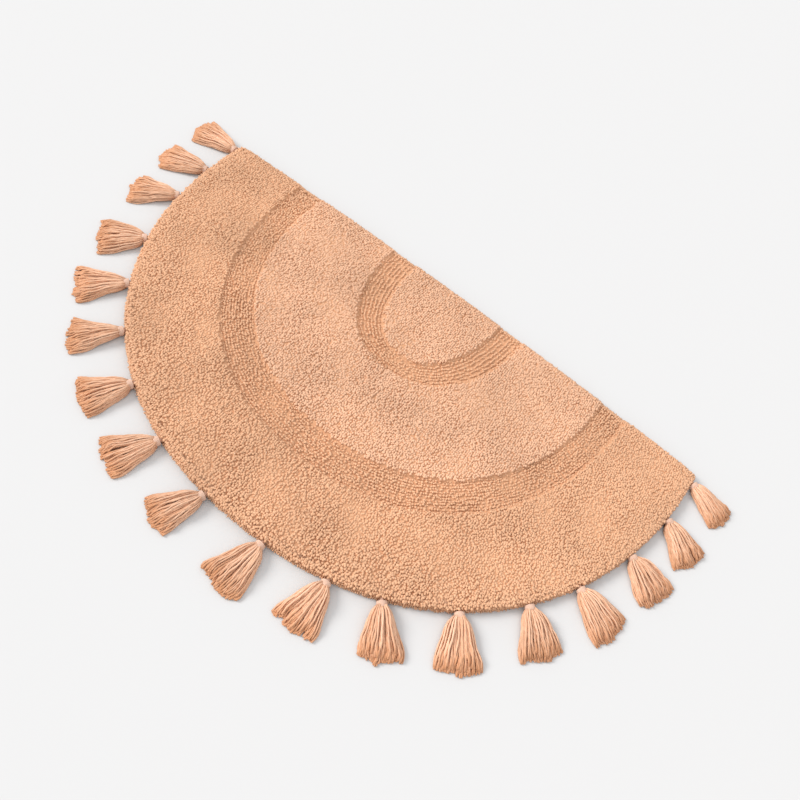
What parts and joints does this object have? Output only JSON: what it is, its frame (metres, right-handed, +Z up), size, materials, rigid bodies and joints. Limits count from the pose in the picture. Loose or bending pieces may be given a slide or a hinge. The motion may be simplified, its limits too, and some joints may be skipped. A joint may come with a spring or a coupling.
{
  "type": "half-round cotton mat",
  "caption": "Half-round tufted cotton mat with two sunken bands following its curve and a border of yarn tassels.",
  "frame": {"origin": "point of the flat underside below the middle of the mat, half way between the straight edge's chord and the deepest point of the curve", "axes": "+X along the straight edge, +Y from the curve toward the straight edge, +Z up out of the pile"},
  "size_m": [1.0574, 0.5869, 0.015],
  "materials": {
    "pile": "cut cotton pile, matt",
    "tassel_yarn": "twisted cotton yarn, matt"
  },
  "bodies": {
    "root": {"mat": "pile", "tassel_01": "tassel_yarn", "tassel_02": "tassel_yarn", "tassel_03": "tassel_yarn", "tassel_04": "tassel_yarn", "tassel_05": "tassel_yarn", "tassel_06": "tassel_yarn", "tassel_07": "tassel_yarn", "tassel_08": "tassel_yarn", "tassel_09": "tassel_yarn", "tassel_10": "tassel_yarn", "tassel_11": "tassel_yarn", "tassel_12": "tassel_yarn", "tassel_13": "tassel_yarn", "tassel_14": "tassel_yarn", "tassel_15": "tassel_yarn", "tassel_16": "tassel_yarn", "tassel_17": "tassel_yarn", "tassel_18": "tassel_yarn"}
  },
  "joints": []
}
